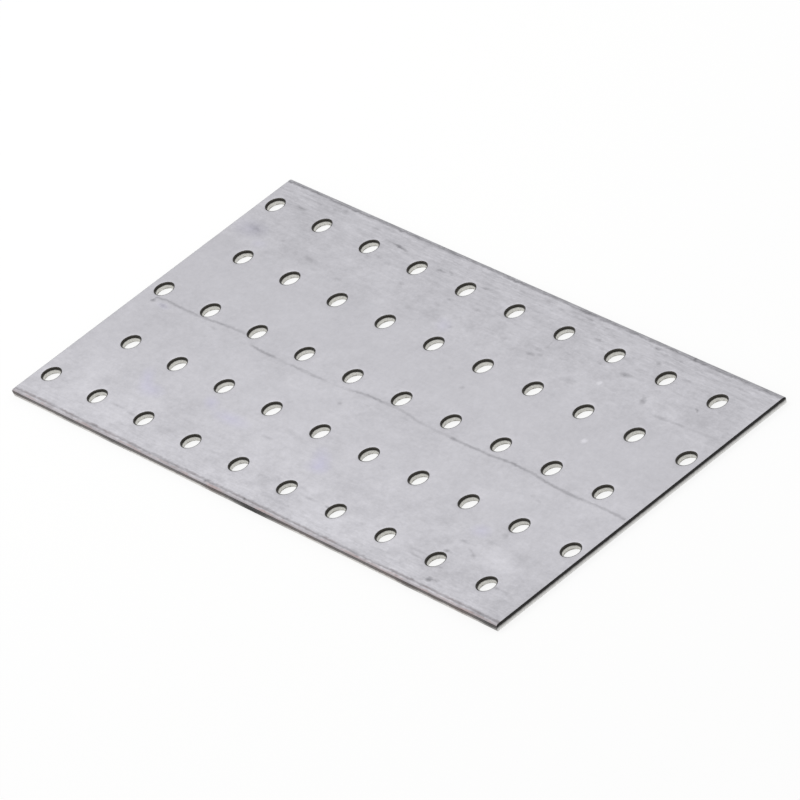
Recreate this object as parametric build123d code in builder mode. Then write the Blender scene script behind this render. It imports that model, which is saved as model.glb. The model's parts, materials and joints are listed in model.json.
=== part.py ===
from build123d import *
import os
from math import floor

# Nail plate: one rectangle of galvanised steel sheet with staggered rows of punched nail holes.
# It is cut from slit strip: the two long edges are the strip's own slit edges, and the two short
# ends are where the plate was cropped off the strip. Both cuts entered from above.
# The plate lies flat, with its origin at the middle of its underside and +X along the strip.

os.makedirs("parts", exist_ok=True)

# Sheet, in millimetres
length = 200.0
width = 100.0
thickness = 2.0

# Nail holes. Every second row stands half a pitch further along.
hole_diameter = 5.0
hole_pitch = 20.0
row_pitch = 20.0
end_margin = 5.0
side_margin = 10.0

# Shorn edges. Each is rolled over at the top, then cut clean, then torn down to the underside,
# where the sheet ends a little short of the clean wall. How deep a blade cuts before the rest
# tears is a share of the sheet's thickness, whatever that is.
clean_share = 0.52
slit_roll_width = 0.90
slit_roll_drop = 0.40
slit_breakout = 0.08
crop_roll_width = 0.25
crop_roll_drop = 0.07
crop_breakout = 0.12


# Section of one shorn edge. The sheet lies on the inward side of the wall, and the roll-over
# leaves the top face without a crease. It gives back the edge's ends on the underside and on top.
def shorn_edge(wall, inward, roll_width, roll_drop, breakout):
    foot = (wall + inward * breakout, 0)
    tear_line = (wall, thickness * (1 - clean_share))
    shoulder = (wall, thickness - roll_drop)
    roll_start = (wall + inward * roll_width, thickness)
    Polyline(foot, tear_line, shoulder)
    TangentArc(roll_start, shoulder, tangent=(-inward, 0))
    return foot, roll_start


# Outline of the sheet's section between two edges of one kind
def sheet_outline(span, roll_width, roll_drop, breakout):
    low_foot, low_top = shorn_edge(-span / 2, 1, roll_width, roll_drop, breakout)
    high_foot, high_top = shorn_edge(span / 2, -1, roll_width, roll_drop, breakout)
    Line(low_foot, high_foot)
    Line(low_top, high_top)


# How many holes fit between the margins, with room for the rows that stand further along
stagger = hole_pitch / 2
holes_per_row = floor((length - 2 * end_margin - stagger) / hole_pitch) + 1
row_count = floor((width - 2 * side_margin) / row_pitch) + 1

# The plate: slit strip, cropped at both ends, then pierced row by row
with BuildPart() as nail_plate:
    with BuildSketch(Plane.YZ):
        with BuildLine():
            sheet_outline(width, slit_roll_width, slit_roll_drop, slit_breakout)
        make_face()
    extrude(amount=length / 2, both=True)
    with BuildSketch(Plane.XZ):
        with BuildLine():
            sheet_outline(length, crop_roll_width, crop_roll_drop, crop_breakout)
        make_face()
    extrude(amount=width / 2, both=True, mode=Mode.INTERSECT)
    for row in range(row_count):
        along = (row % 2 - 0.5) * stagger
        across = (row - (row_count - 1) / 2) * row_pitch
        with Locations((along, across)):
            with GridLocations(hole_pitch, row_pitch, holes_per_row, 1):
                Hole(hole_diameter / 2)
nail_plate.part.label = "nail_plate"
export_step(nail_plate.part, "parts/nail_plate.step")
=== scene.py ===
import json
from math import cos, radians, sin, sqrt, tau

import bmesh
import bpy
from mathutils import Matrix, Vector, noise


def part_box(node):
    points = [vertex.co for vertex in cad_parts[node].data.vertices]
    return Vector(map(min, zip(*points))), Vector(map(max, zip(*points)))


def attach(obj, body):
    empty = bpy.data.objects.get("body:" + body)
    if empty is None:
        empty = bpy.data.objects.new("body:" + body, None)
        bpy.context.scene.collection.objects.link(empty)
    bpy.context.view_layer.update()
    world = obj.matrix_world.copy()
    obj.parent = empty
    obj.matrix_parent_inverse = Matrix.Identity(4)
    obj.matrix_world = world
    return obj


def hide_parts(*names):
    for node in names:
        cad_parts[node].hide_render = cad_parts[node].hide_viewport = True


# One nail plate of galvanised steel, lying on a white table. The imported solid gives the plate's
# outline and its hole pattern, and the sheet made here stands for it. Lengths are in metres.
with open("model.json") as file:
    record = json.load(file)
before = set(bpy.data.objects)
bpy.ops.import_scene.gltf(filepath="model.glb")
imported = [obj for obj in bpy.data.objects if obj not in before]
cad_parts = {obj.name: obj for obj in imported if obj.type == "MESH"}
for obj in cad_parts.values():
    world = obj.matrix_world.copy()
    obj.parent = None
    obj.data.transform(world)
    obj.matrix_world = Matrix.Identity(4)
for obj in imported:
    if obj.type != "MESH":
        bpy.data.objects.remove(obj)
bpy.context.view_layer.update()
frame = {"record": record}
mm = 0.001


# The sheet
# One piece of hot-dip galvanised strip, 2 mm thick: slit to width by round knives, pierced by a
# gang of punches, and cropped to length. All three enter from above. The top is drawn down before
# the steel parts, then the wall is burnished by the blade, and below that it is torn.

# The origin is the middle of the underside, so the box's high corner gives half of each side
half_length, half_width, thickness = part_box("nail_plate")[1]
slit_roll_width = 0.90 * mm
slit_roll_drop = 0.40 * mm
slit_breakout = 0.08 * mm
crop_roll_width = 0.25 * mm
crop_roll_drop = 0.07 * mm
crop_breakout = 0.12 * mm
tear_height = 0.48 * thickness
tear_depth = 0.035 * mm
edge_tear_grain = 1.1 * mm
hole_tear_grain = 0.55 * mm
hole_tear_lift = 0.4

# The plate's record gives the fifty nail holes as bolt patterns of four or two, each about its
# own centre. Here they are whole millimetres from the middle of the plate.
hole_centres = set()
for mount in frame["record"]["mounts"]:
    if mount["kind"] == "bolt_pattern":
        pattern = mount["dims"]
        hole_radius = pattern["hole_r_mm"] * mm
        for side_x in (-0.5, 0.5):
            for side_y in (-0.5, 0.5):
                hole_x = mount["pos_m"][0] / mm + side_x * pattern["spacing_x_mm"]
                hole_y = mount["pos_m"][1] / mm + side_y * pattern.get("spacing_y_mm", 0)
                hole_centres.add((round(hole_x), round(hole_y)))

# Section of a nail hole from the flat top to the flat underside, as steps out from the wall and
# heights, in mm. The top dishes for a millimetre round the hole before it rolls over. Under the
# burnished wall the hole opens where the slug tore away, and it leaves a ragged rim. The zinc
# covers the first four bands, and the points from the one numbered ten on are torn.
hole_section = [
    (1.60, 2.000),
    (1.15, 1.992),
    (0.80, 1.978),
    (0.54, 1.956),
    (0.42, 1.934),
    (0.23, 1.880),
    (0.12, 1.81),
    (0.04, 1.70),
    (0.0, 1.56),
    (0.0, 1.12),
    (0.02, 0.95),
    (0.04, 0.62),
    (0.05, 0.28),
    (0.07, 0.02),
]
zinc_bands = 4
first_torn = 10

# The sheet is skinned in cells of 10 x 20 mm, each with one hole in its middle or none. A cell's
# outline starts at its lower right corner, so the rings round its hole start a sixth of a turn
# back from +X.
cell_length = 10
cell_width = 20
cell_step = 1.25
ring_points = 48
ring_start = -1 / 6
ring_blends = (0.0, 0.22, 0.48, 0.74, 1.0)
finishes = {"zinc": 0, "slit": 1, "crop": 2, "punch": 3}

corners = []
faces = []
face_finishes = []


def add_strip(burnished_shade_colour, lower, finish, closed=True):
    """Skins the gap between two rows of points, counter-clockwise as seen from outside."""
    start = len(corners)
    corners.extend(burnished_shade_colour)
    corners.extend(lower)
    count = len(burnished_shade_colour)
    for i in range(count if closed else count - 1):
        j = (i + 1) % count
        faces.append((start + i, start + count + i, start + count + j, start + j))
        face_finishes.append(finishes[finish])


def inset(height, roll_width, roll_drop, breakout):
    """How far a shorn edge lies inside the plate's outline at a height above the underside."""
    if height > thickness - roll_drop:
        radius = (roll_width ** 2 + roll_drop ** 2) / (2 * roll_drop)
        rise = min(height - thickness + radius, radius)
        return roll_width - sqrt(radius ** 2 - rise ** 2)
    if height < tear_height:
        return breakout * (1 - height / tear_height)
    return 0.0


def plate_ends(height):
    """How far the sheet reaches from its middle along and across, at a height."""
    x_end = half_length - inset(height, crop_roll_width, crop_roll_drop, crop_breakout)
    y_end = half_width - inset(height, slit_roll_width, slit_roll_drop, slit_breakout)
    return x_end, y_end


def fitted(x, y, height):
    """A point of the cell grid in mm, drawn in so that the outermost cells end at the edges."""
    x_end, y_end = plate_ends(height)
    return x * mm * x_end / half_length, y * mm * y_end / half_width, height


def cell_outline(x0, y0, height):
    """The points round one cell, counter-clockwise from its lower right corner."""
    long_count = round(cell_width / cell_step)
    short_count = round(cell_length / cell_step)
    turn = [(cell_length, cell_step * i) for i in range(long_count)]
    turn += [(cell_length - cell_step * i, cell_width) for i in range(short_count)]
    turn += [(0, cell_width - cell_step * i) for i in range(long_count)]
    turn += [(cell_step * i, 0) for i in range(short_count)]
    return [fitted(x0 + x, y0 + y, height) for x, y in turn]


columns = round(2 * half_length / mm / cell_length)
rows = round(2 * half_width / mm / cell_width)
for x0 in [cell_length * (i - columns / 2) for i in range(columns)]:
    for y0 in [cell_width * (j - rows / 2) for j in range(rows)]:
        centre = (round(x0 + cell_length / 2), round(y0 + cell_width / 2))
        if centre not in hole_centres:
            for i in range(round(cell_length / cell_step)):
                ys = [y0 + cell_step * j for j in range(round(cell_width / cell_step) + 1)]
                for height in (thickness, 0.0):
                    near = [fitted(x0 + cell_step * i, y, height) for y in ys]
                    far = [fitted(x0 + cell_step * (i + 1), y, height) for y in ys]
                    if height == 0:
                        near, far = far, near
                    add_strip(near, far, "zinc", closed=False)
            continue

        # The hole's own rings, from the flat top down its wall to the flat underside
        middle = Vector((centre[0] * mm, centre[1] * mm, 0))
        turns = []
        for k, (out, height) in enumerate(hole_section):
            turn = []
            for i in range(ring_points):
                angle = tau * (i / ring_points + ring_start)
                ray = Vector((cos(angle), sin(angle), 0))
                radius = hole_radius + out * mm
                z = height * mm
                if k >= first_torn:
                    ragged = noise.noise((middle + ray * radius) / hole_tear_grain + Vector((0, 0, k)))
                    radius += tear_depth * ragged
                    z = max(0.0, z + hole_tear_lift * tear_depth * ragged)
                turn.append(middle + ray * radius + Vector((0, 0, z)))
            turns.append(turn)
        for k in range(len(turns) - 1):
            add_strip(turns[k], turns[k + 1], "zinc" if k < zinc_bands else "punch")

        # Rings that run from the hole's round rim out to the cell's square outline
        for rim, height in ((turns[0], thickness), (turns[-1], 0.0)):
            outline = [Vector(point) for point in cell_outline(x0, y0, height)]
            rings = [[a.lerp(b, share) for a, b in zip(rim, outline)] for share in ring_blends]
            for inner, outer in zip(rings, rings[1:]):
                if height == 0:
                    inner, outer = outer, inner
                add_strip(outer, inner, "zinc")

# The four shorn edges from the top down, as heights in mm. The first ones lie close together,
# because the crop's roll-over is shallow and the slit's is deep. The zinc is drawn down over each
# as far as its foot.
edge_heights = [2.0, 1.998, 1.990, 1.975, 1.955, 1.930, 1.88, 1.80, 1.70, 1.60]
edge_heights += [1.30, 0.96, 0.72, 0.48, 0.24, 0.0]
slit_zinc_foot = 1.70
crop_zinc_foot = 1.975
along = round(2 * half_length / mm / cell_step)
across = round(2 * half_width / mm / cell_step)
sides = [(-1, -1, 1, 0, along), (1, -1, 0, 1, across), (1, 1, -1, 0, along), (-1, 1, 0, -1, across)]
for start_x, start_y, step_x, step_y, count in sides:
    turns = []
    for height in edge_heights:
        x_end, y_end = plate_ends(height * mm)
        turn = []
        for i in range(count + 1):
            x = x_end * (start_x + 2 * step_x * i / count)
            y = y_end * (start_y + 2 * step_y * i / count)
            if 0 < height * mm < tear_height:
                ragged = noise.noise(Vector((x, y, height * mm)) / edge_tear_grain)
                pull = 1 - tear_depth * (0.5 + 0.5 * ragged) / half_width
                x, y = x * pull, y * pull
            turn.append((x, y, height * mm))
        turns.append(turn)
    cut = "slit" if count == along else "crop"
    zinc_foot = slit_zinc_foot if count == along else crop_zinc_foot
    for k in range(len(turns) - 1):
        zinc_left = edge_heights[k + 1] >= zinc_foot
        add_strip(turns[k], turns[k + 1], "zinc" if zinc_left else cut, closed=False)

# The strips share their points once they are welded, and the cuts' lower rims stay sharp
weld_distance = 0.002 * mm
sharp_angle = radians(32)
sheet_mesh = bpy.data.meshes.new("galvanised_sheet")
sheet_mesh.from_pydata(corners, [], faces)
sheet_mesh.polygons.foreach_set("material_index", face_finishes)
sheet = bpy.data.objects.new("galvanised_sheet", sheet_mesh)
bpy.context.scene.collection.objects.link(sheet)
shell = bmesh.new()
shell.from_mesh(sheet_mesh)
bmesh.ops.remove_doubles(shell, verts=shell.verts, dist=weld_distance)
bmesh.ops.recalc_face_normals(shell, faces=shell.faces)
shell.to_mesh(sheet_mesh)
shell.free()
sheet_mesh.shade_smooth()
sheet_mesh.set_sharp_from_angle(angle=sharp_angle)


def linear(hex_colour):
    """Turns an sRGB colour such as #c8c8cc to the linear RGBA that a shader takes."""
    values = [int(hex_colour[i:i + 2], 16) / 255 for i in (1, 3, 5)]
    return [v / 12.92 if v <= 0.04045 else ((v + 0.055) / 1.055) ** 2.4 for v in values] + [1.0]


def add(nodes, kind, settings=None, **inputs):
    """Adds a shader node, sets its settings, and sets or links inputs by name (or _number)."""
    node = nodes.new("ShaderNode" + kind)
    for name, value in (settings or {}).items():
        setattr(node, name, value)
    for name, value in inputs.items():
        key = int(name[1:]) if name[1:].isdigit() else name.replace("_", " ")
        if isinstance(value, bpy.types.Node):
            value = value.outputs[0]
        if isinstance(value, bpy.types.NodeSocket):
            nodes.id_data.links.new(value, node.inputs[key])
        else:
            node.inputs[key].default_value = value
    return node


def shape_curve(curve, points):
    """Gives a float curve its points. Both of its axes run from 0 to 1."""
    line = curve.mapping.curves[0]
    line.points[0].location = points[0]
    line.points[1].location = points[-1]
    for point in points[1:-1]:
        line.points.new(*point)
    curve.mapping.update()


def total_of_marks(nodes, plan, marks, soft_rim):
    """Sums marks, each a soft oval in the plan. The sum is carried in the plan's third coordinate
    from one mark to the next, so that the shader never holds many of them at once."""
    beyond_any_sum = 1000
    marked = add(nodes, "VectorMath", {"operation": "MULTIPLY"}, _0=plan, _1=(1, 1, 0))
    for x, y, half_long, half_wide, angle, strength in marks:
        size = (half_long + soft_rim, half_wide + soft_rim, beyond_any_sum)
        spot = add(nodes, "Mapping", {"vector_type": "TEXTURE"}, Vector=marked, Location=(x, y, 0),
                   Rotation=(0, 0, radians(angle)), Scale=size)
        spot = add(nodes, "TexGradient", {"gradient_type": "SPHERICAL"}, Vector=spot)
        depth = (0, 0, strength / 100)
        marked = add(nodes, "VectorMath", {"operation": "MULTIPLY_ADD"}, _0=spot, _1=depth, _2=marked)
    return add(nodes, "SeparateXYZ", Vector=marked).outputs["Z"]


# Hot-dip zinc, skin-passed between dull rolls: a regular coat with no spangle. It gives the eye
# a flat blue-grey with faint clouds, a soft sheen and the scuffs that handling leaves. All of the
# places and sizes in its patterns are in mm, and darkness is a share from clean to tarnished. The
# same darkness also carries the painted shade set below.
zinc_clean = "#c4c3c8"
zinc_tarnished_and_shaded = "#414044"
zinc_passivated = "#a9a4cf"
zinc_rusty = "#b08f86"
to_mm = (1 / mm, 1 / mm, 1 / mm)
end = round(half_length / mm)
side = round(half_width / mm)

# Scuffs, stains and dents on the top, read off: the place from the middle of the plate, half the
# length and half the width, the angle in degrees, and the darkness in hundredths. A pale spot has a
# minus.
# The dents' shading is painted into the colour as spots. The two broad patches at the end of the list are
# painted shade towards +X and painted light towards -X across the near half, standing for the sheet's
# uneven sheen.
scuff_rim = 0.2
scuffs_and_painted_shading = [
    (-46.3, 43.8, 4.0, 0.35, -6, 46), (-51.0, 44.0, 2.5, 0.4, 0, 12), (-86.7, 42.3, 2.6, 0.8, 5, 28),
    (-91.0, 42.0, 3.0, 0.5, 0, 14), (-91.5, 30.2, 3.6, 0.8, -8, 9), (-92.0, 30.0, 7.0, 4.0, 0, 18),
    (-66.5, 28.2, 3.0, 0.8, -10, 18), (-66.0, 27.0, 6.0, 3.0, 0, 9), (-80.0, 30.0, 0.8, 0.5, 0, 11),
    (-75.0, 29.0, 6.0, 2.5, 0, 6), (-72.0, 28.6, 1.2, 0.7, 0, 5), (-61.5, 25.6, 1.5, 0.6, 0, 9),
    (-68.7, 26.2, 1.5, 0.6, 0, 6), (-52.0, 26.0, 3.0, 0.5, 12, 8), (-42.0, 27.5, 5.0, 0.4, 4, 4),
    (-73.5, 47.3, 1.5, 0.6, 0, 16), (-77.0, 46.3, 1.2, 0.5, 0, 12), (-59.0, 46.4, 1.6, 0.5, 0, 11),
    (-71.0, 9.3, 1.0, 0.4, -40, 5), (-44.0, 37.5, 1.5, 0.6, 0, 9), (-48.5, 38.0, 1.5, 0.6, 0, 8),
    (-27.5, 42.1, 2.0, 0.35, 4, 25), (-24.0, 42.8, 1.5, 0.35, -20, 22), (-9.5, 42.9, 2.3, 0.45, 5, 23),
    (-5.5, 43.0, 2.0, 0.4, 0, 8), (-20.0, 46.9, 2.0, 0.4, 0, 16), (-3.5, 47.4, 1.5, 0.5, 0, 10),
    (11.0, 47.0, 3.5, 1.2, 0, 15), (-52.0, 37.2, 2.0, 0.5, 0, 6),
    (16.5, 46.6, 1.5, 0.4, 0, 12), (27.5, 47.2, 1.2, 0.5, 0, 28), (-15.5, 34.8, 1.5, 0.5, 0, 20),
    (-17.5, 32.0, 1.2, 0.6, 0, 11), (-33.8, 33.3, 1.2, 0.6, 0, 15), (-5.0, 35.3, 2.0, 0.5, 0, 16),
    (-7.0, 37.3, 1.2, 0.5, 0, 5), (-23.5, 27.1, 1.8, 0.5, 0, 12), (-14.5, 28.0, 4.0, 3.0, 0, 8),
    (-6.5, 27.0, 1.0, 0.8, 0, 18), (23.3, 29.6, 2.0, 0.6, 0, 26), (26.0, 30.5, 1.0, 0.7, 0, 15),
    (23.5, 32.0, 3.0, 0.6, 0, 13), (25.5, 33.5, 1.0, 0.6, 0, 12), (24.8, 35.5, 1.2, 0.35, 90, 12),
    (12.0, 30.5, 1.5, 1.3, 0, 13), (8.0, 26.0, 2.0, 1.0, 0, 3), (33.0, 34.5, 3.0, 0.3, 0, 10),
    (16.9, 11.0, 0.8, 0.6, 0, 15), (7.3, 15.2, 1.0, 0.6, 0, 8), (54.1, 35.7, 2.4, 1.0, 0, 32),
    (66.5, 30.6, 1.9, 1.0, -50, 32), (58.4, 43.4, 1.2, 0.6, -15, 26), (53.7, 47.4, 1.3, 0.6, 0, 28),
    (57.5, 46.7, 1.2, 0.5, 0, 10), (63.5, 46.9, 1.2, 0.5, 0, 10),
    (34.5, 46.7, 3.0, 0.4, 0, 13), (41.5, 27.0, 3.0, 1.1, 0, 14), (39.0, 26.2, 2.0, 0.6, 15, 6),
    (76.5, 28.0, 4.5, 0.6, 2, 20), (82.5, 28.4, 3.5, 0.5, 3, 18), (91.5, 28.8, 6.0, 0.45, 3, 10),
    (97.5, 30.5, 1.0, 0.6, 0, 10), (50.0, 30.2, 1.0, 0.9, 0, -30), (64.4, 11.7, 1.0, 0.9, 0, -28),
    (82.8, 34.8, 1.2, 0.4, -35, 32), (93.0, 41.0, 1.5, 0.6, 0, 13), (71.5, 41.8, 2.5, 0.5, 0, 17),
    (86.0, 47.0, 4.0, 0.4, 0, 9), (80.5, 47.0, 1.5, 0.5, 0, 9), (71.0, 46.8, 3.0, 0.5, 0, 7),
    (36.0, 42.4, 2.0, 0.4, 0, 28), (39.5, 40.2, 1.2, 0.5, 0, 12), (44.0, 36.0, 1.5, 0.6, 0, 16),
    (88.0, 38.0, 14.0, 9.0, 0, 3), (-89.0, -5.2, 1.6, 0.6, 0, 23),
    (-67.7, -4.9, 2.0, 0.4, 0, 13), (-55.5, -5.2, 1.5, 0.5, 0, 5), (-64.5, -24.8, 2.5, 1.0, -30, 3),
    (-66.0, -39.9, 4.0, 0.35, 0, 13), (-59.5, -40.4, 2.0, 0.4, 0, 16), (-88.5, -40.2, 2.0, 0.4, 0, 10),
    (-45.0, -39.9, 3.5, 0.3, 0, 6), (-65.3, -48.6, 1.6, 0.5, 0, 22), (-92.0, -48.9, 1.5, 0.5, 0, 11),
    (-9.3, -9.6, 1.0, 0.6, -20, 18), (-1.5, -6.8, 1.2, 0.6, 0, 5), (-10.0, -24.5, 7.0, 1.0, -8, 9),
    (-16.0, -28.8, 3.0, 0.6, 0, 16), (14.0, -40.1, 4.0, 0.4, 0, 13), (9.0, -38.0, 1.5, 0.6, 0, 11),
    (-4.0, -39.9, 4.0, 0.35, 0, 8), (-93.7, -4.7, 0.9, 0.7, 0, 38), (66.7, 49.2, 0.8, 0.4, 0, 37),
    (-25.0, -40.0, 4.0, 0.3, 0, 8), (22.0, -40.0, 1.5, 0.4, 0, 25), (-2.0, -49.0, 1.2, 0.4, 0, 30),
    (14.8, -48.9, 1.2, 0.4, 0, 8), (-17.7, -48.9, 1.2, 0.4, 0, 26),
    (12.5, -5.3, 3.0, 0.4, 0, 9), (31.5, -4.6, 1.8, 0.8, 0, 13),
    (69.2, -10.2, 0.8, 0.5, 0, 8), (72.5, -11.0, 1.0, 0.5, 0, 12), (71.0, -33.2, 1.6, 0.5, -20, 15),
    (73.4, -34.2, 1.4, 0.6, -20, 16), (69.8, -46.3, 1.2, 0.9, 0, 38), (71.5, -45.9, 1.6, 0.6, 15, 16),
    (66.5, -31.4, 2.0, 0.5, 0, 14), (50.0, -31.0, 4.0, 0.5, 0, 8), (60.0, -35.0, 2.0, 0.7, 0, 9),
    (55.5, -28.0, 5.0, 3.0, 0, 7), (73.0, -28.0, 3.0, 1.5, 0, 7), (65.5, -36.3, 1.5, 0.5, 0, 34),
    (57.5, -40.0, 4.0, 0.4, 0, 8), (59.0, -41.6, 3.0, 0.4, 0, 15), (36.0, -40.0, 1.5, 0.4, 0, 9),
    (93.0, -40.3, 4.0, 0.5, -14, 9), (89.0, -40.0, 1.0, 0.5, 0, 20), (85.0, -33.0, 15.0, 5.0, -3, -9),
    (75.0, -24.8, 1.6, 1.0, -30, 13), (68.5, -41.8, 1.2, 0.5, 0, 12), (62.0, -24.0, 5.0, 1.5, 0, 2),
    (22.5, -21.7, 2.0, 0.6, -10, 8), (90.0, -38.0, 50.0, 20.0, 0, 8), (-85.0, -40.0, 40.0, 15.0, 0, -5),
]

# Patches where the passivation dried violet, in the same order
violet_patches = [
    (-68.0, -28.0, 5.5, 2.8, -40, 20), (-63.0, -31.0, 6.0, 3.2, 0, 20), (-42.5, -26.5, 4.2, 2.5, -25, 20),
    (-32.0, -28.5, 9.0, 2.8, 0, 20), (5.0, -28.0, 7.0, 3.4, -35, 20), (6.0, -30.5, 5.0, 2.8, 0, 16),
    (67.5, -26.5, 4.2, 2.8, 0, 18), (-89.0, -5.2, 3.0, 1.4, 0, 12), (-8.5, 26.5, 4.0, 2.6, -30, 12),
    (-93.0, 29.5, 8.0, 4.0, 0, 10), (-85.5, 26.0, 3.5, 2.0, 0, 10),
]

# The long line that the rolls left, as places along the plate and across it, and as how dark it
# is along the plate, where 30 is the darkest
rolled_line = [
    (-95, -4.3), (-90, -3.2), (-80, -3.4), (-68, -2.7), (-60, -2.2), (-52, -4.6), (-46, -5.1),
    (-27, -5.1), (-16, -4.9), (-9, -4.1), (-3, -3.6), (8, -3.4), (17, -4.3), (32, -4.6), (44, -4.5),
    (53, -3.9), (60, -3.9), (68, -4.6), (80, -5.0), (93, -4.6), (99.8, -5.3),
]
rolled_line_strength = [
    (-98, 0), (-94, 14), (-70, 15), (-59, 13), (-54, 1), (-49, 17), (-43, 16), (-38, 3), (-32, 14),
    (-23, 12), (-17, 2), (-11, 12), (-2, 15), (4, 9), (17, 7), (24, 3), (33, 14), (52, 16), (56, 19),
    (63, 11), (72, 17), (85, 14), (99, 13),
]

zinc = bpy.data.materials.new("dull_rolled_hot_dip_zinc")
zinc.use_nodes = True
nodes = zinc.node_tree.nodes
nodes.clear()
place = add(nodes, "TexCoord")
plan = add(nodes, "Mapping", Vector=place.outputs["Object"], Scale=to_mm)
flat = add(nodes, "SeparateXYZ", Vector=plan)
along_x = flat.outputs["X"]
across_y = flat.outputs["Y"]

# Rolling drew every mark a little along the strip, and no mark's outline is clean
ripple_size = 1.4
ripple_reach = (2.0, 0.9, 0)
ripple = add(nodes, "TexNoise", Vector=plan, Scale=1 / ripple_size, Detail=2.0)
ripple = add(nodes, "VectorMath", {"operation": "SUBTRACT"}, _0=ripple.outputs[1], _1=(0.5, 0.5, 0.5))
wavy = add(nodes, "VectorMath", {"operation": "MULTIPLY_ADD"}, _0=ripple, _1=ripple_reach, _2=plan)
wavy_y = add(nodes, "SeparateXYZ", Vector=wavy).outputs["Y"]

# Clouds that rolling drew out, fine lines along the strip, and an even speckle. Rows between the
# holes carry less of the clouds, and the strips along the two slit edges carry more of the lines:
# how much is set by points from the near edge, 0, to the far one, 1.
cloud_size = 12
cloud_draw = 1.5
line_length = 9
line_spacing = 0.8
speckle_size = 1.5
speckle_darkness = 0.12
cloud_points = [
    (0, 0.6), (0.2, 0.45), (0.32, 0.3), (0.45, 0.38), (0.6, 0.2), (0.7, 0.28), (0.8, 0.55), (1, 0.4),
]
line_points = [
    (0, 0.35), (0.03, 0.33), (0.1, 0.12), (0.2, 0.10), (0.6, 0.05), (0.8, 0.15), (0.94, 0.48), (1, 0.9),
]
drawn = add(nodes, "Mapping", Vector=plan, Scale=(1 / cloud_draw, 1, 1))
clouds = add(nodes, "TexNoise", Vector=drawn, Scale=1 / cloud_size, Detail=5.0, Roughness=0.92)
clouds = add(nodes, "Math", {"operation": "SUBTRACT"}, _0=clouds, _1=0.5)
lines = add(nodes, "Mapping", Vector=wavy, Scale=(1 / line_length, 1 / line_spacing, 1))
lines = add(nodes, "TexNoise", Vector=lines, Scale=1.0, Detail=3.0, Roughness=0.75)
lines = add(nodes, "Math", {"operation": "SUBTRACT"}, _0=lines, _1=0.5)
across_share = add(nodes, "MapRange", Value=across_y, From_Min=-side, From_Max=side)
cloud_darkness = add(nodes, "FloatCurve", Value=across_share)
line_darkness = add(nodes, "FloatCurve", Value=across_share)
shape_curve(cloud_darkness, cloud_points)
shape_curve(line_darkness, line_points)
cloudy = add(nodes, "Math", {"operation": "MULTIPLY"}, _0=clouds, _1=cloud_darkness)
dark = add(nodes, "Math", {"operation": "MULTIPLY_ADD"}, _0=lines, _1=line_darkness, _2=cloudy)
speckle = add(nodes, "TexNoise", Vector=plan, Scale=1 / speckle_size, Detail=2.0, Roughness=0.9)
speckle = add(nodes, "Math", {"operation": "SUBTRACT"}, _0=speckle, _1=0.5)
dark = add(nodes, "Math", {"operation": "MULTIPLY_ADD"}, _0=speckle, _1=speckle_darkness, _2=dark)

# The scuffs, with the painted shading of the dents and of the sheen, on the top alone
top_only = add(nodes, "MapRange", Value=flat.outputs["Z"], From_Min=1.0, From_Max=1.9)
scuffed_and_shaded = total_of_marks(nodes, wavy, scuffs_and_painted_shading, scuff_rim)
dark = add(nodes, "Math", {"operation": "MULTIPLY_ADD"}, _0=scuffed_and_shaded, _1=top_only, _2=dark)

# The long line. It wanders in a band of 5 mm, and is made of strands that follow the fine lines.
line_band = 5
line_band_low = -6
line_half_width = 0.72
darkest_line = 30
darkest_share = 0.41
strand_contrast = 2.2
line_places = [((x + end) / (2 * end), (y - line_band_low) / line_band) for x, y in rolled_line]
line_strengths = [((x + end) / (2 * end), strength / darkest_line) for x, strength in rolled_line_strength]
along_share = add(nodes, "MapRange", Value=along_x, From_Min=-end, From_Max=end)
line_place = add(nodes, "FloatCurve", Value=along_share)
line_strength = add(nodes, "FloatCurve", Value=along_share)
shape_curve(line_place, line_places)
shape_curve(line_strength, line_strengths)
line_y = add(nodes, "Math", {"operation": "MULTIPLY_ADD"}, _0=line_place, _1=line_band, _2=line_band_low)
line_gap = add(nodes, "Math", {"operation": "SUBTRACT"}, _0=wavy_y, _1=line_y)
line_gap = add(nodes, "Math", {"operation": "ABSOLUTE"}, _0=line_gap)
line_body = add(nodes, "MapRange", {"interpolation_type": "SMOOTHSTEP"}, Value=line_gap,
                From_Max=line_half_width, To_Min=darkest_share, To_Max=0.0)
line_body = add(nodes, "Math", {"operation": "MULTIPLY"}, _0=line_body, _1=line_strength)
strands = add(nodes, "Math", {"operation": "MULTIPLY_ADD"}, _0=lines, _1=strand_contrast, _2=1.0)
line_body = add(nodes, "Math", {"operation": "MULTIPLY"}, _0=line_body, _1=strands)
line_body = add(nodes, "Math", {"operation": "MULTIPLY"}, _0=line_body, _1=top_only)
dark = add(nodes, "Math", {"operation": "ADD"}, _0=dark, _1=line_body)

# The crease where the slitter's knives began to draw the long edges down. Painted shade darkens it
# in broken stretches, a little more on the far edge. The near one lies a little further in.
crease_place = 48.9
crease_shift = 0.05
crease_half_width = 0.72
break_length = 7
crease_gap = add(nodes, "Math", {"operation": "SUBTRACT"}, _0=wavy_y, _1=crease_shift)
crease_gap = add(nodes, "Math", {"operation": "ABSOLUTE"}, _0=crease_gap)
crease_gap = add(nodes, "Math", {"operation": "SUBTRACT"}, _0=crease_gap, _1=crease_place)
crease_gap = add(nodes, "Math", {"operation": "ABSOLUTE"}, _0=crease_gap)
crease = add(nodes, "MapRange", Value=crease_gap, From_Max=crease_half_width, To_Min=1.0, To_Max=0.0)
broken = add(nodes, "Mapping", Vector=plan, Scale=(1 / break_length, 1, 1))
broken = add(nodes, "TexNoise", Vector=broken, Scale=1.0, Detail=3.0, Roughness=0.7)
unbroken = add(nodes, "MapRange", Value=broken, From_Min=0.3, From_Max=0.7, To_Min=0.3, To_Max=1.0)
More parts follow.
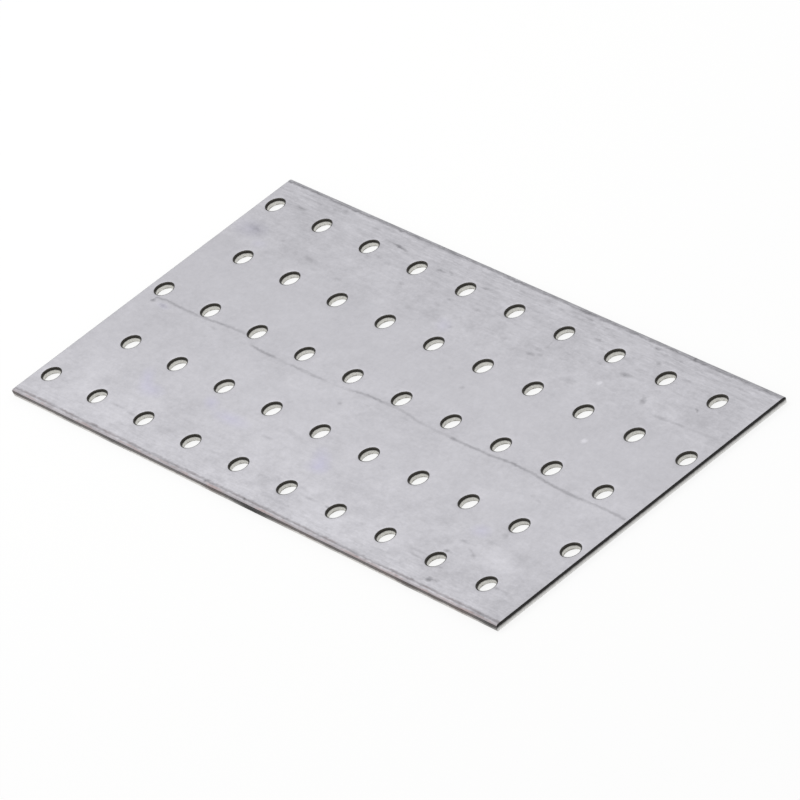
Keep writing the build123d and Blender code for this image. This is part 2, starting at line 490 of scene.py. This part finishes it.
crease = add(nodes, "Math", {"operation": "MULTIPLY"}, _0=crease, _1=unbroken)
crease = add(nodes, "Math", {"operation": "MULTIPLY"}, _0=crease, _1=top_only)
darkening = add(nodes, "MapRange", Value=across_y, From_Min=-10, From_Max=10, To_Min=0.47, To_Max=0.53)
# The crease's darkness is painted shade
dark = add(nodes, "Math", {"operation": "MULTIPLY_ADD"}, _0=crease, _1=darkening, _2=dark)

# Where the top leans, at the drawn-down edges and round the holes, painted shade darkens the coat
# by how far it leans, most of all on the far edge. On the near edge it has begun to rust there, in
# flecks.
rust_in_crease = 0.4
lean = add(nodes, "SeparateXYZ", Vector=place.outputs["Normal"])
lean = add(nodes, "Math", {"operation": "ABSOLUTE"}, _0=lean.outputs["Z"])
roll_over_shade_and_rust = add(nodes, "MapRange", Value=lean, From_Min=0.998, From_Max=0.96)
roll_over_shade = add(nodes, "MapRange", Value=across_y, From_Min=44, From_Max=49, To_Min=0.10, To_Max=0.15)
# Painted shade on the leaning coat
dark = add(nodes, "Math", {"operation": "MULTIPLY_ADD"}, _0=roll_over_shade_and_rust, _1=roll_over_shade, _2=dark)
rusting = add(nodes, "MapRange", Value=broken, From_Min=0.46, From_Max=0.62, To_Min=0.09, To_Max=0.38)
rust = add(nodes, "Math", {"operation": "MULTIPLY_ADD"}, _0=crease, _1=rust_in_crease, _2=roll_over_shade_and_rust)
rust = add(nodes, "Math", {"operation": "MULTIPLY"}, _0=rust, _1=rusting)
near_edge = add(nodes, "MapRange", Value=across_y, From_Min=-47.5, From_Max=-48.5)
rust = add(nodes, "Math", {"operation": "MULTIPLY"}, _0=rust, _1=near_edge)

# The coat's colour, from how dark it is, how violet and how rusty
even_darkness = 0.20
dark = add(nodes, "Math", {"operation": "ADD"}, _0=dark, _1=even_darkness)
coat = add(nodes, "Mix", {"data_type": "RGBA"}, _0=dark, _6=linear(zinc_clean), _7=linear(zinc_tarnished_and_shaded))
violet = total_of_marks(nodes, wavy, violet_patches, 0)
violet = add(nodes, "Math", {"operation": "MULTIPLY"}, _0=violet, _1=top_only)
coat = add(nodes, "Mix", {"data_type": "RGBA"}, _0=violet, _6=coat.outputs[2], _7=linear(zinc_passivated))
coat = add(nodes, "Mix", {"data_type": "RGBA"}, _0=rust, _6=coat.outputs[2], _7=linear(zinc_rusty))

# Roll-dulled grain, a few micrometres deep, and a slight unevenness of the sheet. The coat is
# duller where it is darker.
grain_size = 0.35
grain_depth = 0.004 * mm
swell_size = 8
swell_depth = 0.02 * mm
grain = add(nodes, "TexNoise", Vector=plan, Scale=1 / grain_size, Detail=2.0)
grain = add(nodes, "Bump", Strength=1.0, Distance=grain_depth, Height=grain)
swell = add(nodes, "TexNoise", Vector=plan, Scale=1 / swell_size, Detail=1.0)
grain = add(nodes, "Bump", Strength=1.0, Distance=swell_depth, Height=swell, Normal=grain)
sheen = add(nodes, "MapRange", Value=dark, From_Min=0.0, From_Max=0.5, To_Min=0.48, To_Max=0.62)
skin = add(nodes, "BsdfPrincipled", Base_Color=coat.outputs[2], Metallic=1.0, Roughness=sheen, Normal=grain)
add(nodes, "OutputMaterial", Surface=skin)
sheet_mesh.materials.append(zinc)

# The slit sides lay open on the coil, so they are a little rusty in some stretches, and they are
# darker in others, read off: the middle of each stretch along the plate and half its length, in mm,
# and how much darker it is and how much rust
slit_stretches = [
    (-98, 8, 0.2, 0.1), (-75, 8, 0.25, 0.0), (-57, 10, 0.4, 0.0), (-14, 7, 0.35, 0.25),
    (2, 16, 0.9, 0.0), (15, 6, 0.2, 0.15), (25, 6, 0.0, 0.1), (34, 5, 0.2, 0.0), (56, 6, 0.0, 0.15),
    (65, 7, 0.5, 0.2), (76, 6, 0.25, 0.1), (86, 7, 0.2, 0.2), (97, 8, 0.6, 0.0),
]

# Shorn steel, bare below the drawn-down coat. The blade burnished the upper part of each wall, whose
# colour is painted dark, nearly black on the cropped ends and in the holes: painted shade and a
# painted dark reflection. The rest is a torn, granular grey. The tear wanders along the cut. At its
# foot the slit and cropped walls turn lighter, and the punched walls carry a painted shadow, as of a
# gap under the plate. Sizes, and heights above the underside, are in mm.
cuts = [
    {"name": "slit_steel", "tear": 1.0, "blend": 0.15, "wander": 0.5, "foot": 0.70, "foot_wander": 0.6,
     "burnished_shade": "#625d5d", "torn": "#797372", "foot_tone_and_shadow": "#e0dedb", "stretches": slit_stretches},
    {"name": "cropped_steel", "tear": 0.93, "blend": 0.32, "wander": 0.35, "foot": 0.40, "foot_wander": 0.4,
     "burnished_shade": "#302f2f", "torn": "#d5d4d2", "foot_tone_and_shadow": "#e6e5e3", "stretches": []},
    {"name": "punched_steel", "tear": 1.18, "blend": 0.12, "wander": 0.3, "foot": 0.16, "foot_wander": 1.2,
     "burnished_shade": "#3a3835", "torn": "#dfded9", "foot_tone_and_shadow": "#a19e97", "stretches": []},
]
steel_rusty = "#8c6350"
foot_blend = 0.16
wander_size = 1.3
wander_squash = 0.15
score_width = 0.25
score_length = 3
fracture_size = 0.3
relief_depth = 0.012 * mm
fleck_contrast = 2.0
fleck_mean = 0.6
for cut in cuts:
    steel = bpy.data.materials.new(cut["name"])
    steel.use_nodes = True
    nodes = steel.node_tree.nodes
    nodes.clear()
    place = add(nodes, "TexCoord")
    plan = add(nodes, "Mapping", Vector=place.outputs["Object"], Scale=to_mm)
    split = add(nodes, "SeparateXYZ", Vector=plan)
    along_x = split.outputs["X"]
    height = split.outputs["Z"]
    ragged = add(nodes, "Mapping", Vector=plan, Scale=(1, 1, wander_squash))
    ragged = add(nodes, "TexNoise", Vector=ragged, Scale=1 / wander_size, Detail=3.0, Roughness=0.6)
    ragged = add(nodes, "Math", {"operation": "SUBTRACT"}, _0=ragged, _1=0.5)
    level = add(nodes, "Math", {"operation": "MULTIPLY_ADD"}, _0=ragged, _1=cut["wander"], _2=height)
    torn = add(nodes, "MapRange", Value=level, From_Min=cut["tear"] + cut["blend"],
               From_Max=cut["tear"] - cut["blend"])
    level = add(nodes, "Math", {"operation": "MULTIPLY_ADD"}, _0=ragged, _1=cut["foot_wander"], _2=height)
    foot_tone_and_shadow = add(nodes, "MapRange", Value=level, From_Min=cut["foot"] + foot_blend,
                 From_Max=cut["foot"] - foot_blend)

    # Score lines that the blade drew down the wall, and the fracture's grain
    score_scale = (1 / score_width, 1 / score_width, 1 / score_length)
    scored = add(nodes, "Mapping", Vector=plan, Scale=score_scale)
    scored = add(nodes, "TexNoise", Vector=scored, Scale=1.0, Detail=2.0)
    fracture = add(nodes, "TexNoise", Vector=plan, Scale=1 / fracture_size, Detail=3.0, Roughness=0.7)
    relief = add(nodes, "Mix", {"data_type": "FLOAT"}, _0=torn, _2=scored, _3=fracture)
    shade = add(nodes, "MapRange", Value=relief, From_Min=0.25, From_Max=0.75, To_Min=0.8, To_Max=1.15)
    # The burnished colour is painted shade and a painted dark reflection
    burnished_shade_colour = linear(cut["burnished_shade"])
    lower = linear(cut["torn"])
    foot_tone_and_shadow_colour = linear(cut["foot_tone_and_shadow"])
    colour = add(nodes, "Mix", {"data_type": "RGBA"}, _0=torn, _6=burnished_shade_colour, _7=lower)
    # On the punched walls the foot colour is a painted shadow; on the others it is a lighter tone
    colour = add(nodes, "Mix", {"data_type": "RGBA"}, _0=foot_tone_and_shadow, _6=colour.outputs[2], _7=foot_tone_and_shadow_colour)

    # Each stretch is darkened evenly, and rust comes in flecks
    rusting = 0.0
    for x, half_long, darkening, rust in cut["stretches"]:
        gap = add(nodes, "Math", {"operation": "SUBTRACT"}, _0=along_x, _1=x)
        gap = add(nodes, "Math", {"operation": "ABSOLUTE"}, _0=gap)
        stretch_tone = add(nodes, "MapRange", {"interpolation_type": "SMOOTHSTEP"}, Value=gap,
                    From_Max=half_long, To_Min=1 - darkening, To_Max=1.0)
        shade = add(nodes, "Math", {"operation": "MULTIPLY"}, _0=shade, _1=stretch_tone)
        rusty = add(nodes, "MapRange", {"interpolation_type": "SMOOTHSTEP"}, Value=gap,
                    From_Max=half_long, To_Min=rust, To_Max=0.0)
        rusting = add(nodes, "Math", {"operation": "ADD"}, _0=rusting, _1=rusty)
    flecks = add(nodes, "Math", {"operation": "MULTIPLY_ADD"}, _0=ragged, _1=fleck_contrast, _2=fleck_mean)
    flecks = add(nodes, "Math", {"operation": "MULTIPLY"}, _0=flecks, _1=rusting)
    rusted = linear(steel_rusty)
    colour = add(nodes, "Mix", {"data_type": "RGBA"}, _0=flecks, _6=colour.outputs[2], _7=rusted)
    colour = add(nodes, "VectorMath", {"operation": "SCALE"}, _0=colour.outputs[2], Scale=shade)
    depth = add(nodes, "Bump", Strength=1.0, Distance=relief_depth, Height=relief)
    rough = add(nodes, "MapRange", Value=torn, To_Min=0.35, To_Max=0.65)
    wall = add(nodes, "BsdfPrincipled", Base_Color=colour, Metallic=1.0, Roughness=rough, Normal=depth)
    add(nodes, "OutputMaterial", Surface=wall)
    sheet_mesh.materials.append(steel)

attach(sheet, "root")
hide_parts("nail_plate")


# The table
# A plain white table, wider than the picture. It glows a little, as a table does that is lit from
# all round, so that it stays white and the plate's shadow on it is slight.
reach = 3.0
table_white = "#fcfcfb"
glow_share = 0.82


def seen_directly(nodes):
    """Gives 1 to the rays that show a thing to the camera, straight or in a mirror or through
    glass, and 0 to the rays that only gather its light."""
    ray = add(nodes, "LightPath")
    share = ray.outputs["Is Camera Ray"]
    for kind in ("Is Glossy Ray", "Is Transmission Ray"):
        share = add(nodes, "Math", {"operation": "MAXIMUM"}, _0=share, _1=ray.outputs[kind])
    return share


table_mesh = bpy.data.meshes.new("table_top")
table_corners = [(-reach, -reach, 0), (reach, -reach, 0), (reach, reach, 0), (-reach, reach, 0)]
table_mesh.from_pydata(table_corners, [], [(0, 1, 2, 3)])
table = bpy.data.objects.new("table_top", table_mesh)
bpy.context.scene.collection.objects.link(table)
card = bpy.data.materials.new("white_card")
card.use_nodes = True
nodes = card.node_tree.nodes
nodes.clear()
share = add(nodes, "Math", {"operation": "MULTIPLY"}, _0=seen_directly(nodes), _1=glow_share)
matt = add(nodes, "BsdfDiffuse", Color=linear(table_white))
glow = add(nodes, "Emission", Color=(1, 1, 1, 1), Strength=1.0)
both = add(nodes, "MixShader", _0=share, _1=matt, _2=glow)
add(nodes, "OutputMaterial", Surface=both)
table_mesh.materials.append(card)


# The light
# A white room, whose light is a little weaker than it looks, and one round soft box high up to the
# left of the plate
room_light = 0.8
world = bpy.data.worlds.new("white_studio")
bpy.context.scene.world = world
world.use_nodes = True
nodes = world.node_tree.nodes
nodes.clear()
brightness = add(nodes, "MapRange", Value=seen_directly(nodes), To_Min=room_light, To_Max=1.0)
air = add(nodes, "Background", Color=(1, 1, 1, 1), Strength=brightness)
add(nodes, "OutputWorld", Surface=air)

lamp_distance = 0.55
lamp_azimuth = radians(178)
lamp_elevation = radians(62)
lamp_data = bpy.data.lights.new("soft_box", "AREA")
lamp_data.shape = "DISK"
lamp_data.size = 0.4
lamp_data.energy = 0.76
lamp = bpy.data.objects.new("soft_box", lamp_data)
level_out = Vector((cos(lamp_azimuth), sin(lamp_azimuth), 0))
toward = level_out * cos(lamp_elevation) + Vector((0, 0, sin(lamp_elevation)))
lamp.location = toward * lamp_distance
lamp.rotation_euler = toward.to_track_quat("Z", "Y").to_euler()
bpy.context.scene.collection.objects.link(lamp)


# The camera
# It looks over the plate's near corner from about 2.2 m, through a long lens, and is rolled. It was
# fitted to pixel numbers, which stand for the pixels' middles, so the aim moves by half a pixel.
half_pixel = 0.127 * mm
azimuth = radians(61.16)
elevation = radians(34.03)
roll = radians(-20.60)
camera_distance = 2233.8 * mm
aim = Vector((5.42, -0.73, 2.0)) * mm
camera_data = bpy.data.cameras.new("camera")
camera_data.sensor_width = 36.0
camera_data.lens = 395.0
camera_data.clip_end = 20.0
camera = bpy.data.objects.new("camera", camera_data)
back = Vector((sin(azimuth) * cos(elevation), -cos(azimuth) * cos(elevation), sin(elevation)))
level_right = Vector((cos(azimuth), sin(azimuth), 0))
level_up = back.cross(level_right)
right = level_right * cos(roll) + level_up * sin(roll)
up = back.cross(right)
aim += (up - right) * half_pixel
turned = Matrix((right, up, back)).transposed().to_4x4()
camera.matrix_world = Matrix.Translation(aim + back * camera_distance) @ turned
bpy.context.scene.collection.objects.link(camera)
bpy.context.scene.camera = camera

bpy.context.scene.view_settings.view_transform = "Standard"
